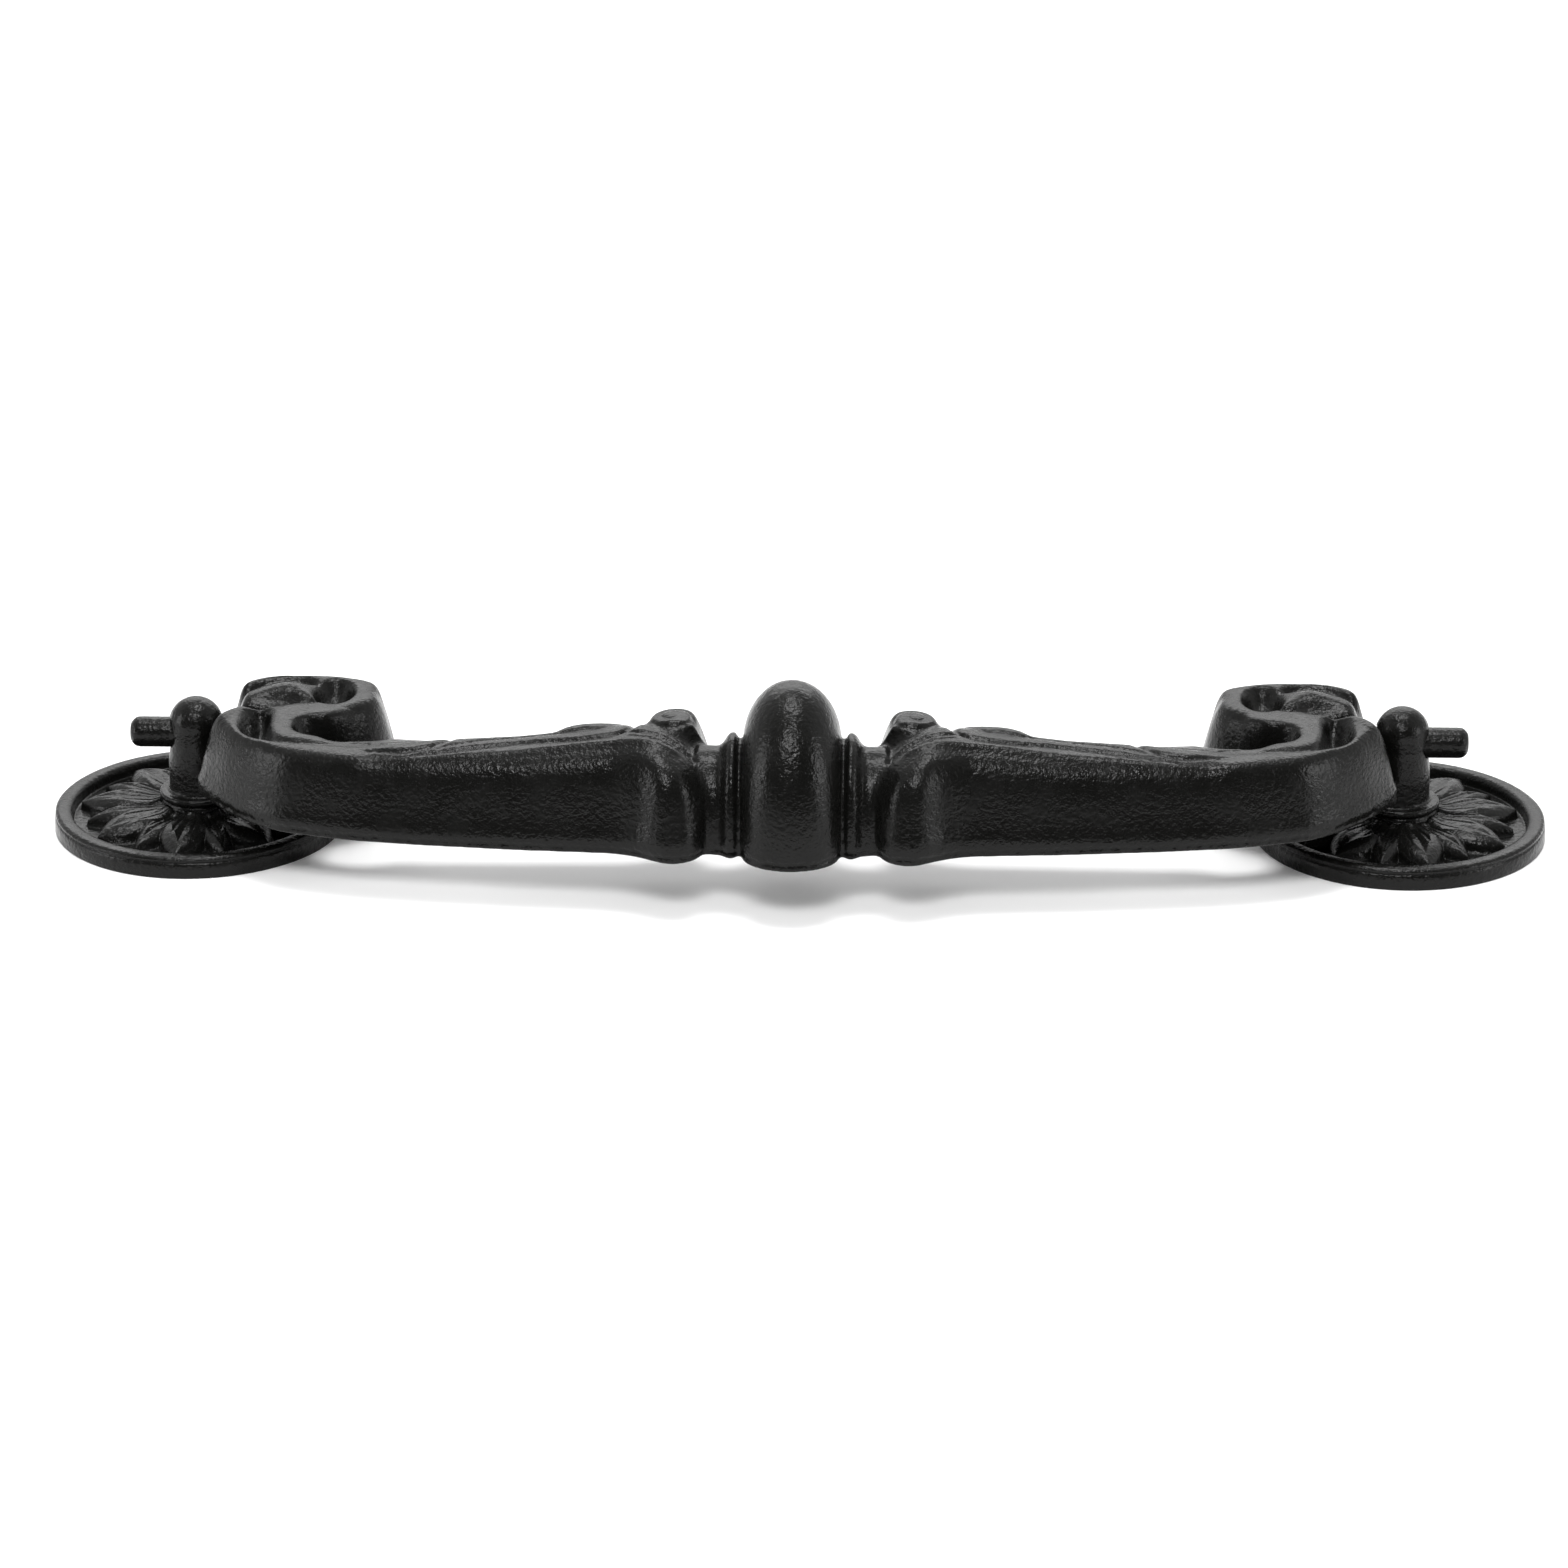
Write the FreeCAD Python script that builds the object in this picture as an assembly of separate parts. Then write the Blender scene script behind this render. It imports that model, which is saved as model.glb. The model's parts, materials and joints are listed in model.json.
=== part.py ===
"""Cast bail pull for a drawer or cabinet door.

Five pieces: the bail, one casting with its two pivot pins, and for each end a
post that the pin turns in and a rosette that the post clamps to the face.
X runs along the pull, Y up the drawer face, Z out of it. The origin lies on
the face, midway between the two fixing screws. Lengths are millimetres.
"""
import FreeCAD, Part
import math
import os
from FreeCAD import Vector

# Fixing
hole_centres = 128.0
screw_tap_drill = 3.3
screw_hole_depth = 7.2

# Rosette
rosette_diameter = 31.0
rosette_height = 2.35
rosette_step = 0.25
lip_width = 1.7
lip_chamfer = 0.45
floor_height = 1.0
hub_diameter = 9.4
hub_height = 3.3
petal_pairs = 8
petal_width = 4.5
petal_crown = 3.05
petal_tip_gap = 0.5
petal_tip_height = 1.9
small_petal_width = 3.0
small_petal_crown = 2.5
small_petal_setback = 0.7
left_rosette_turn = -4.0
right_rosette_turn = 10.0

# Post
post_diameter = 6.2
post_neck_diameter = 5.6
post_head_diameter = 5.8
post_collar_diameter = 8.5
post_collar_thickness = 0.8
post_neck_drop = 2.3
post_head_rise = 1.05
spigot_diameter = 5.2
spigot_clearance = 0.05
pivot_height = 10.4

# Number of flats that stand in for each round form
rosette_sides = 64
post_sides = 32
scroll_sides = 24
knob_sides = 16
dome_sides = 12
centre_sides = 10

# Pivot pins of the bail
pin_diameter = 3.3
pin_clearance = 0.05
pin_reach_past_post = 7.0
pin_end_chamfer = 0.6
side_play = 0.5

# Bail casting, heights measured from its flat back
back_below_pivot = 4.2
scroll_thickness = 8.7
scroll_length = 16.3
scroll_depth = 11.4
scroll_offset = 0.3
scroll_draft = 1.6
scroll_swing_radius = 6.9
scroll_end_radius = 5.8
scroll_end_width = 1.2
wall_height = 4.8
wall_inset = 1.1
hook_offset = 2.65
hook_reach = 8.6

# Reach of the near edge from the pivot axis, down the drawer face
boss_reach = 26.8
bell_reach = 25.5
bar_reach = 22.7
elbow_reach = 18.9

# Turned centre of the bail
centre_reach = 16.8
boss_half_width = 5.1
boss_dome = 4.0
boss_height = 16.9
ring_radius = 6.6
ring_width = 1.1
ring_chamfer = 0.9
ring_groove = 0.35
neck_radius = 5.8
bell_gap = 1.2
neck_overlap = 1.0

# Bell, knob and leaves beside the centre
bell_length = 9.5
bell_height = 11.5
knob_radius = 3.5
knob_draft = 1.4
knob_height = 11.8
knob_reach = 12.7


half_centres = hole_centres / 2
bail_back = pivot_height - back_below_pivot
scroll_x = half_centres - post_diameter / 2 - side_play - scroll_length / 2
ring_inner = boss_half_width + ring_groove
ring_outer = ring_inner + ring_width
bell_mouth = ring_outer + ring_chamfer + bell_gap
bell_root = bell_mouth + bell_length


def wire(points):
    """Closed wire of straight edges."""
    return Part.makePolygon(points + [points[0]])


def facets(corners):
    """One flat face on four corners, or two triangles where they aren't in one plane."""
    first, second, third, fourth = corners
    normal = (second - first).cross(third - first)
    if abs((fourth - first).dot(normal)) < 1e-7 * max(normal.Length, 1e-3):
        return [Part.Face(wire(corners))]
    return [Part.Face(wire([first, second, third])), Part.Face(wire([first, third, fourth]))]


def lofted(sections):
    """Solid of flat facets from section to section, each a ring of equally many points."""
    faces = [Part.Face(wire(sections[0])), Part.Face(wire(sections[-1]))]
    for before, after in zip(sections, sections[1:]):
        for index in range(len(before)):
            step = (index + 1) % len(before)
            faces += facets([before[index], before[step], after[step], after[index]])
    shell = Part.Shell(faces)
    shell.sewShape()
    solid = Part.Solid(shell)
    if solid.Volume < 0:
        solid.reverse()
    return solid


def revolved(outline, centre, axis):
    """Solid turned from a closed outline."""
    return Part.Face(wire(outline)).revolve(centre, axis, 360)


def mirrored(shape):
    """The same piece on the other end of the pull."""
    return shape.mirror(Vector(0, 0, 0), Vector(1, 0, 0))


def oval(centre, long_radius, short_radius, sides, turn=0.0):
    """Points of an oval about a centre, its long radius turned from X."""
    lean = math.radians(turn)
    points = []
    for index in range(sides):
        angle = 2 * math.pi * index / sides
        along = long_radius * math.cos(angle)
        across = short_radius * math.sin(angle)
        side = Vector(along * math.cos(lean) - across * math.sin(lean),
                      along * math.sin(lean) + across * math.cos(lean), 0)
        points.append(centre + side)
    return points


def turned(profile, sides):
    """Upright turned form with flats, from its (radius, height) steps."""
    return lofted([oval(Vector(0, 0, z), r, r, sides) for r, z in profile])


def dome(centre, radii, skirt, turn=0.0):
    """Oval dome of the given radii and rise; a negative rise makes a bowl. The skirt carries its foot on."""
    sections = [oval(centre - Vector(0, 0, skirt), radii[0], radii[1], dome_sides, turn)]
    for degrees in (0, 35, 65):
        angle = math.radians(degrees)
        spread = math.cos(angle)
        level = centre + Vector(0, 0, radii[2] * math.sin(angle))
        sections.append(oval(level, radii[0] * spread, radii[1] * spread, dome_sides, turn))
    return lofted(sections)


# Rosette

def rosette_dish():
    """Round plate: upright rim, raised lip, sunk floor and hub, with the post's hole."""
    rim = rosette_diameter / 2
    inner = rim - rosette_step - lip_width
    hub = hub_diameter / 2
    plate = turned([(rim, 0), (rim, rosette_height - lip_chamfer), (rim - lip_chamfer, rosette_height)],
                   rosette_sides)
    sunk = turned([(inner, floor_height), (inner, hub_height)], rosette_sides)
    boss = turned([(hub, floor_height / 2), (hub, hub_height)], post_sides)
    bore = Part.makeCylinder(spigot_diameter / 2 + spigot_clearance, hub_height)
    return plate.cut(sunk).fuse(boss).cut(bore)


def petal(root, tip, width, crown, tip_height):
    """Pointed petal lying along X: a creased dome of flat facets from the hub to its tip."""
    foot = floor_height - 0.3
    stations = [(0.0, 0.55, 0.9), (0.36, 0.95, 1.0), (0.72, 0.9, 0.85), (1.0, 0.15, 0.0)]
    sections = []
    for share, spread, rise in stations:
        x = root + share * (tip - root)
        half = width * spread / 2
        top = tip_height + (crown - tip_height) * rise
        haunch = foot + (top - foot) * 0.8
        sections.append([
            Vector(x, -half, foot),
            Vector(x, -half * 0.75, haunch),
            Vector(x, 0, top),
            Vector(x, half * 0.75, haunch),
            Vector(x, half, foot),
        ])
    return lofted(sections)


def rosette(turn):
    """Rosette at the origin, its daisy of large and small petals turned about Z."""
    root = hub_diameter / 2 - 0.6
    tip = rosette_diameter / 2 - rosette_step - lip_width - petal_tip_gap
    large = petal(root, tip, petal_width, petal_crown, petal_tip_height)
    small = petal(root, tip - small_petal_setback, small_petal_width, small_petal_crown,
                  petal_tip_height - 0.3)
    pitch = 360.0 / petal_pairs
    petals = []
    for number in range(petal_pairs):
        for shape, lag in ((large, 0.0), (small, pitch / 2)):
            copy = shape.copy()
            copy.rotate(Vector(0, 0, 0), Vector(0, 0, 1), turn + number * pitch + lag)
            petals.append(copy)
    return rosette_dish().multiFuse(petals).removeSplitter()


# Post

def post():
    """Post at the origin: spigot, collar, body, neck and round head, drilled for pin and screw."""
    body = post_diameter / 2
    neck = post_neck_diameter / 2
    head = post_head_diameter / 2
    collar = post_collar_diameter / 2
    collar_top = hub_height + post_collar_thickness
    neck_height = pivot_height - post_neck_drop
    dome_centre = pivot_height + post_head_rise
    profile = [
        (body, collar_top),
        (body, neck_height - 0.6),
        (neck, neck_height),
        (head, neck_height + 0.5),
    ]
    for degrees in (0, 32, 60, 80):
        angle = math.radians(degrees)
        profile.append((head * math.cos(angle), dome_centre + head * math.sin(angle)))
    disc = turned([(collar, hub_height), (collar, collar_top)], post_sides)
    spigot = Part.makeCylinder(spigot_diameter / 2, hub_height)
    solid = turned(profile, post_sides).multiFuse([disc, spigot])
    pin_hole = Part.makeCylinder(pin_diameter / 2 + pin_clearance, post_collar_diameter,
                                 Vector(-post_collar_diameter / 2, 0, pivot_height), Vector(1, 0, 0))
    screw_hole = Part.makeCylinder(screw_tap_drill / 2, screw_hole_depth)
    return solid.cut(pin_hole).cut(screw_hole)


# Bail

def bar_section(x, near, far, height):
    """Cross-section of the bar: flat back, drafted walls and a rounded crown."""
    shoulder = wall_height * height / scroll_thickness
    middle = (near + far) / 2
    half = abs(far - near) / 2
    crown = [(half, 0)]
    for spread, rise in ((1.0, 0.0), (0.88, 0.45), (0.7, 0.75), (0.4, 0.95)):
        crown.append(((half - wall_inset) * spread, shoulder + (height - shoulder) * rise))
    points = [Vector(x, middle - across, bail_back + level) for across, level in crown]
    points.append(Vector(x, middle, bail_back + height))
    for across, level in reversed(crown):
        points.append(Vector(x, middle + across, bail_back + level))
    return points


def bar():
    """Bar from the mouth of the bell out into the hook, lofted through its cross-sections."""
    sections = []
    bell = [(0.026, 0.30, -9.4, 0.68), (0.142, 0.71, -9.1, 0.79), (0.268, 1.0, -8.8, 0.88), (0.416, 0.97, -8.8, 0.94),
            (0.53, 0.82, -9.0, 0.975), (0.71, 0.36, -9.3, 1.0)]
    for share, flare, far, lift in bell:
        near = -(bar_reach + (bell_reach - bar_reach) * flare)
        sections.append(bar_section(bell_mouth + share * bell_length, near, far, bell_height * lift))
    stretch = [(0.0, 0.0, -9.6, 0.9), (0.3, 0.18, -9.9, 0.46), (0.6, 0.46, -10.1, 0.23), (0.8, 0.72, -10.3, 0.05),
               (0.92, 1.0, -10.8, 0.0), (1.03, 1.35, -11.4, 0.0)]
    for share, rise, far, lift in stretch:
        near = -(bar_reach + (elbow_reach - bar_reach) * rise)
        height = scroll_thickness + (bell_height - scroll_thickness) * lift
        sections.append(bar_section(bell_root + share * (scroll_x - bell_root), near, far, height))
    return lofted(sections)


def front_scroll():
    """Hook of the bail that turns round in front of the post: a lofted lump about its own centre."""
    reach = [7.4, 9.0, 8.1, 7.3, 7.0, 6.6, 6.4, 6.6, 6.8, 7.6, 9.4, 10.5, 8.2, 6.7, 6.1, 6.4]
    centre = Vector(scroll_x + hook_offset, -hook_reach, bail_back)
    sides = []
    for index, radius in enumerate(reach):
        angle = 2 * math.pi * index / len(reach)
        sides.append(radius * Vector(math.cos(angle), math.sin(angle), 0))
    curve = Part.BSplineCurve()
    curve.interpolate(Points=sides, PeriodicFlag=True)
    rim = curve.discretize(Number=scroll_sides + 1)[:scroll_sides]
    sections = []
    for height, inset in ((0, 0), (4.6, 1.0), (6.8, 1.8), (8.1, 2.6), (scroll_thickness, 3.5)):
        level = centre + Vector(0, 0, height)
        ring = []
        for side in rim:
            outward = (side.x + side.y) / side.Length / math.sqrt(2)
            ring.append(level + side * (1 - inset * (1 + 0.22 * outward) / side.Length))
        sections.append(ring)
    return lofted(sections)


def rear_scroll():
    """Scroll on the pivot axis: a drafted oval, turned down to swing clear of rosette and post."""
    sections = []
    for height, spread in ((0, scroll_draft), (6.5, 0.4), (8.0, -0.2), (scroll_thickness, -1.1)):
        level = Vector(scroll_x, scroll_offset, bail_back + height)
        sections.append(oval(level, scroll_length / 2 + spread, scroll_depth / 2 + spread, scroll_sides))
    outer = scroll_x + scroll_length / 2
    start = scroll_x - scroll_length
    envelope = [
        Vector(start, 0, pivot_height),
        Vector(start, 0, pivot_height + scroll_swing_radius),
        Vector(outer - scroll_end_width - 0.6, 0, pivot_height + scroll_swing_radius),
        Vector(outer - scroll_end_width, 0, pivot_height + scroll_end_radius),
        Vector(outer, 0, pivot_height + scroll_end_radius),
        Vector(outer, 0, pivot_height),
    ]
    swept = revolved(envelope, Vector(0, 0, pivot_height), Vector(1, 0, 0))
    return lofted(sections).common(swept)


def scroll_hollows():
    """Hollows that leave the S of the scroll standing: inside the hook, behind it, and in the rear oval."""
    crest = bail_back + scroll_thickness + 0.6
    x = scroll_x
    return [
        dome(Vector(x + 4.7, -7.4, crest), (2.3, 4.2, -3.4), -1.0, 6),
        dome(Vector(x + 2.2, -12.5, crest), (3.9, 1.0, -1.7), -1.0, 19),
        dome(Vector(x + 6.2, -2.2, crest), (4.2, 1.2, -3.4), -1.0, 4),
        dome(Vector(x - 3.1, 0.9, crest), (2.7, 3.4, -2.9), -1.0),
        dome(Vector(x + 5.9, 2.4, crest), (1.7, 1.3, -1.8), -1.0, -15),
        dome(Vector(x + 1.6, 4.2, crest), (5.0, 0.8, -1.5), -1.0, -3),
    ]


def pin():
    """Cast pivot pin with a chamfered end."""
    radius = pin_diameter / 2
    root = scroll_x + scroll_length / 2 - 2.0
    end = half_centres + pin_reach_past_post
    outline = [
        Vector(root, 0, pivot_height),
        Vector(root, 0, pivot_height + radius),
        Vector(end - pin_end_chamfer, 0, pivot_height + radius),
        Vector(end, 0, pivot_height + radius - pin_end_chamfer),
        Vector(end, 0, pivot_height),
    ]
    return revolved(outline, Vector(0, 0, pivot_height), Vector(1, 0, 0))


def knob():
    """Leaf end curled up into a domed knob behind the bell."""
    foot = knob_radius + knob_draft
    centre = Vector(bell_mouth + knob_radius, -knob_reach, bail_back)
    profile = [(foot, 0), (knob_radius, 0.8), (knob_radius - 0.5, 0.92), (knob_radius - 1.6, 1)]
    sections = [oval(centre + Vector(0, 0, share * knob_height), r, r, knob_sides) for r, share in profile]
    return lofted(sections)


def leaf_lobes():
    """Rounded leaf edges: two that overlap along the far side of the bar and one in the rear oval."""
    return [
        dome(Vector(bell_root + 2.0, -13.4, bail_back + bell_height - 1.5), (4.6, 1.7, 0.9), 1.5, -3),
        dome(Vector(scroll_x - 11.0, -13.0, bail_back + scroll_thickness - 0.8), (7.0, 1.8, 0.8), 1.5, 3),
        dome(Vector(scroll_x + 1.9, 1.5, bail_back + scroll_thickness - 0.3), (2.9, 1.5, 0.6), 1.5),
    ]


def turned_centre():
    """Boss with a ring and neck each side, lofted through half-oval sections on the flat back."""
    radius = boss_reach - centre_reach
    base = radius - boss_dome
    half = [
        (bell_mouth + neck_overlap, neck_radius),
        (ring_outer + ring_chamfer, neck_radius),
        (ring_outer, ring_radius),
        (ring_inner, ring_radius),
    ]
    for degrees in (0, 16, 36, 62):
        angle = math.radians(degrees)
        half.append((boss_half_width * math.cos(angle), base + boss_dome * math.sin(angle)))
    stations = [(-x, reach) for x, reach in half] + [(0, radius)] + half[::-1]
    sections = []
    for x, reach in stations:
        points = []
        for index in range(centre_sides + 1):
            angle = math.pi * index / centre_sides
            points.append(Vector(x, reach * math.cos(angle) - centre_reach,
                                 bail_back + reach * math.sin(angle) * boss_height / radius))
        sections.append(points)
    return lofted(sections)


def bail():
    """The whole casting, mirrored about its middle."""
    end = bar().multiFuse([front_scroll(), rear_scroll(), knob()] + leaf_lobes())
    end = end.cut(scroll_hollows()).fuse(pin())
    return turned_centre().multiFuse([end, mirrored(end)]).removeSplitter()


def at_end(shape, side):
    """Piece moved out to the left (-1) or right (1) fixing."""
    moved = shape.copy()
    moved.translate(Vector(side * half_centres, 0, 0))
    return moved


def build():
    """Every piece by its node name."""
    pieces = {"bail": bail()}
    for name, side, turn in (("left", -1, left_rosette_turn), ("right", 1, right_rosette_turn)):
        pieces[name + "_post"] = at_end(post(), side)
        pieces[name + "_rosette"] = at_end(rosette(turn), side)
    return pieces


os.makedirs("parts", exist_ok=True)
for name, shape in build().items():
    if len(shape.Solids) != 1 or not shape.isValid():
        raise ValueError(name + " is not one valid solid")
    shape.Solids[0].exportStep("parts/" + name + ".step")
    print(name, round(shape.Volume, 1), "mm3", shape.BoundBox)
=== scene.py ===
"""Looks of a cast bail pull, laid out as a small Blender add-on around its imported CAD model."""
import json
import math

import bmesh
import bpy
import numpy as np
from mathutils import Matrix, Vector
from mathutils.bvhtree import BVHTree


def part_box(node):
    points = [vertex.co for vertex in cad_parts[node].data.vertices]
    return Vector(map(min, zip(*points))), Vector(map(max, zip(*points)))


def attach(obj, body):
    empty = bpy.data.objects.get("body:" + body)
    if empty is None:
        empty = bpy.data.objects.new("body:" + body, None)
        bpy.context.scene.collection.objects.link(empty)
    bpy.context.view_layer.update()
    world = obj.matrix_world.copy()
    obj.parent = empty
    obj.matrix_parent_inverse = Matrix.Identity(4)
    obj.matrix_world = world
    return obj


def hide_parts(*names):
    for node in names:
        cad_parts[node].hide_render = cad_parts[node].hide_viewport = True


bl_info = {
    "name": "Bail Pull",
    "version": (1, 0, 0),
    "blender": (4, 5, 0),
    "location": "View3D > Sidebar > Bail Pull",
    "description": "Builds the cast bail, its posts and rosettes, and the stage they are shown on",
    "category": "Object",
}

MM = 0.001

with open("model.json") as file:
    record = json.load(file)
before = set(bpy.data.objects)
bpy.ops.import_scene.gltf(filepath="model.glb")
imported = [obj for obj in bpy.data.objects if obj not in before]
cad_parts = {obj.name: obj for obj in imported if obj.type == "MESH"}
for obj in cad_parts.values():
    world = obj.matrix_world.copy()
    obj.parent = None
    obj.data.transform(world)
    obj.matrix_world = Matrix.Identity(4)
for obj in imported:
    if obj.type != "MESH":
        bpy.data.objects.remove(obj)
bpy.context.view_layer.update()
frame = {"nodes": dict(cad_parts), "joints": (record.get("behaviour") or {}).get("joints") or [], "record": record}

# Relief of the bail's right half, seen from above; the left half mirrors it. All lengths are in millimetres.
# A form is a power and the knots x, y, rise and half width of its line. A hollow has a negative rise, and
# the higher the power, the steeper are its walls and the flatter its ground.
SCROLL_TOP = 14.9
SCROLL_FORMS = (
    # Comma hollow inside the hook, which runs out as the groove between the two strands.
    (3.2, ((56.7, -5.0, -1.5, 1.65), (56.8, -7.0, -1.6, 1.85), (56.7, -8.6, -1.6, 1.85),
           (56.1, -10.1, -1.5, 1.6), (55.2, -11.3, -1.2, 1.15), (54.2, -12.2, -0.8, 0.8),
           (52.6, -13.0, -0.6, 0.55), (50, -13.5, -0.5, 0.5), (47, -13.9, -0.4, 0.5),
           (42, -15.2, -0.1, 0.4))),
    # Deeper ground of the comma hollow.
    (2.0, ((56.2, -4.6, -0.9, 1.0), (56.1, -6.5, -1.4, 1.1), (56.0, -8.5, -1.5, 1.15),
           (55.6, -10.2, -1.1, 1.0), (55.0, -11.4, -0.5, 0.7))),
    # Pocket between the knuckle, the far strand and the oval.
    (6.0, ((43, -8.7, -9.0, 3.4), (47, -8.5, -8.5, 3.0), (49.4, -8.4, -8.0, 2.7),
           (49.9, -8.4, -7.5, 2.6))),
    # Crevice between the hook's end and the oval, which runs on between the knuckle and the leaf bulb.
    (3.0, ((62, -2.5, -5.0, 1.0), (59.5, -2.6, -4.2, 0.95), (57.5, -2.5, -3.6, 0.85),
           (55.6, -2.5, -2.8, 0.75), (54.2, -2.2, -2.0, 0.65), (52.8, -1.9, -1.5, 0.6),
           (51.4, -1.5, -1.2, 0.8))),
    # Shallow valley beside the crevice, along the foot of the leaf bulb.
    (2.0, ((59.6, -1.2, -0.2, 0.9), (58, -1.4, -0.5, 1.1), (56, -1.3, -0.9, 1.3), (54.3, -1.2, -0.9, 1.3),
           (52.8, -1.3, -0.6, 1.1))),
    # Small hollow at the oval's end and the groove behind the leaf bulb.
    (2.2, ((59.1, 1.7, -0.9, 0.8), (58.2, 2.3, -1.4, 0.95), (57.0, 3.3, -1.0, 0.7), (55.5, 4.1, -0.8, 0.55),
           (53.4, 4.3, -0.9, 0.6), (51.8, 3.6, -1.2, 0.8))),
    # Rim behind the leaf.
    (2.0, ((59.6, 3.1, 0, 0.6), (57.6, 4.4, 0.1, 0.7), (54.5, 5.2, 0.2, 0.8), (51, 5.5, 0.15, 0.8),
           (48.2, 5.0, 0, 0.8))),
    # Crest of the hook's end.
    (2.0, ((60.4, -7, 0.1, 1.3), (59.7, -5.2, 0.45, 1.3), (58.6, -4.2, 0.3, 1.0), (57.4, -3.9, 0.1, 0.7))),
    # Round end of the knuckle.
    (2.0, ((52.9, -6.4, 0.1, 1.6), (53.2, -4.6, 0.3, 1.9), (52.6, -3.9, 0.25, 1.7))),
    # Leaf bulb.
    (2.0, ((57.6, 0.3, 0.1, 1.0), (56.2, 0.8, 0.4, 1.4), (54.8, 1.2, 0.7, 1.9), (53.6, 1.1, 0.7, 2.1),
           (52.8, 0.5, 0.4, 1.6))),
)

# Dish in the oval on the pivot axis.
DISH_CENTRE = (49.25, 1.0)
DISH_HALF = (2.6, 3.9)
DISH_DEPTH = 2.4

# Fine lines along the bar, all of power 2.
BAR_LINES = (
    # Edge of the first leaf.
    ((34.6, -12.6, -0.5, 0.7), (36, -14.5, -0.5, 0.6), (37.6, -16.2, -0.45, 0.55), (40.5, -16.7, -0.45, 0.5),
     (43, -16.1, -0.35, 0.5), (46, -15.6, 0, 0.5)),
    # Edge of the second leaf.
    ((16.2, -13.0, -0.5, 0.7), (16.9, -15.2, -0.5, 0.6), (18.3, -16.6, -0.45, 0.55), (21.8, -17.0, -0.4, 0.5),
     (28, -16.5, -0.35, 0.5), (34.2, -17.1, -0.35, 0.45), (39, -17.5, -0.25, 0.45), (44, -17.2, 0, 0.4)),
    # Vein of the second leaf.
    ((19.5, -14.2, -0.3, 0.4), (24, -14.5, -0.3, 0.4), (29, -14.7, -0.3, 0.4), (34, -15.5, -0.3, 0.4),
     (36.5, -16.6, -0.2, 0.4)),
    # Vein of the first leaf.
    ((37, -13.6, -0.15, 0.35), (41, -14.2, -0.25, 0.35), (45, -13.7, -0.25, 0.35), (49, -12.6, -0.12, 0.35),
     (51, -11.9, 0, 0.35)),
    # Crest of the near strand.
    ((12, -19.4, 0.3, 0.8), (14.5, -19.0, 0.3, 0.8), (17.6, -18.4, 0.25, 0.8), (24, -18.2, 0.2, 0.8),
     (34, -18.2, 0.15, 0.8), (42, -17.6, 0.1, 0.8)),
    # Fold below the knob.
    ((17.5, -15.9, -0.4, 0.5), (15.6, -16.5, -0.45, 0.5), (13.4, -17.0, -0.5, 0.55), (11.6, -17.8, -0.5, 0.6),
     (10.2, -18.9, -0.4, 0.6)),
    # Second fold below the knob.
    ((16.6, -17.4, -0.2, 0.4), (14.2, -17.9, -0.25, 0.4), (12.2, -18.6, -0.25, 0.4)),
)

# Knob at the bell, a slightly domed round with a spiral cut into its top.
KNOB_CENTRE = (12.15, -12.7)
KNOB_TOP = 18.3
KNOB_FLAT = 2.6
KNOB_SPIRAL = (
    (14.6, -13.9, -0.2, 0.3), (13.4, -14.9, -0.35, 0.3), (11.7, -15.0, -0.35, 0.3), (10.5, -13.9, -0.35, 0.3),
    (10.4, -12.4, -0.35, 0.3), (11.6, -11.3, -0.35, 0.3), (13.2, -11.5, -0.35, 0.3),
    (13.9, -12.7, -0.35, 0.3), (13.1, -13.7, -0.3, 0.3), (12.1, -13.3, -0.2, 0.3),
)

# Where the drawn relief starts at the bell and ends at the scroll, beyond which only the pin goes on.
BELL_START = 8.85
SCROLL_END = 60.45
PIN_CLEARANCE = 1.9

# The carved scroll takes over from the CAD bar between these two places along X.
CARVING_START = 41.2
CARVING_WHOLE = 45.5

# Line of the turned centre, and how much deeper than wide its half-oval is.
CENTRE_LINE = -16.8
CENTRE_DEPTH = 1.69

# Triangles of the finished bail, under the library's limit of 200,000 for a piece.
BAIL_TRIANGLES = 190000

# Height of the seam's groove above the back, its half width, and place and half width of the bell's flute.
SEAM_HEIGHT = 0.75
SEAM_HALF = 0.28
FLUTE_LINE = 11.7
FLUTE_HALF = 0.8

# Farthest that the scroll's far side reaches from the pivot line, short of the petals.
SWING_RADIUS = 6.85

# Radius of the hole that the pin runs in.
PIN_HOLE = 1.72

# Sunk floor of the rosette, whose petals start under the post's collar.
DISH_FLOOR = 1.0
FLOOR_START = 4.1
FLOOR_END = 13.45
PETAL_START = 3.6

# Closer than this, in millimetres, two points of a turned or mirrored form are one.
SAME_POINT = 0.002


class CastingSizes(bpy.types.PropertyGroup):
    """Fineness of the cast surfaces and the marks that the mould leaves on the bail."""
    relief_step: bpy.props.FloatProperty(
        name="Relief Step", description="Spacing of the grid that the bail's relief is drawn on",
        default=0.15 * MM, min=0.1 * MM, unit="LENGTH", precision=5)
    grain: bpy.props.FloatProperty(
        name="Grain", description="Edge length of the bail's surface grid",
        default=0.21 * MM, min=0.15 * MM, unit="LENGTH", precision=5)
    post_grain: bpy.props.FloatProperty(
        name="Post Grain", description="Edge length of a post's surface grid",
        default=0.1 * MM, min=0.08 * MM, unit="LENGTH", precision=5)
    seam_depth: bpy.props.FloatProperty(
        name="Seam Depth", description="Depth of the groove that sets the flash line off from the walls",
        default=0.16 * MM, min=0, unit="LENGTH", precision=5)
    flute_depth: bpy.props.FloatProperty(
        name="Flute Depth", description="Depth of the flute down the front of each bell",
        default=0.22 * MM, min=0, unit="LENGTH", precision=5)


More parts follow.
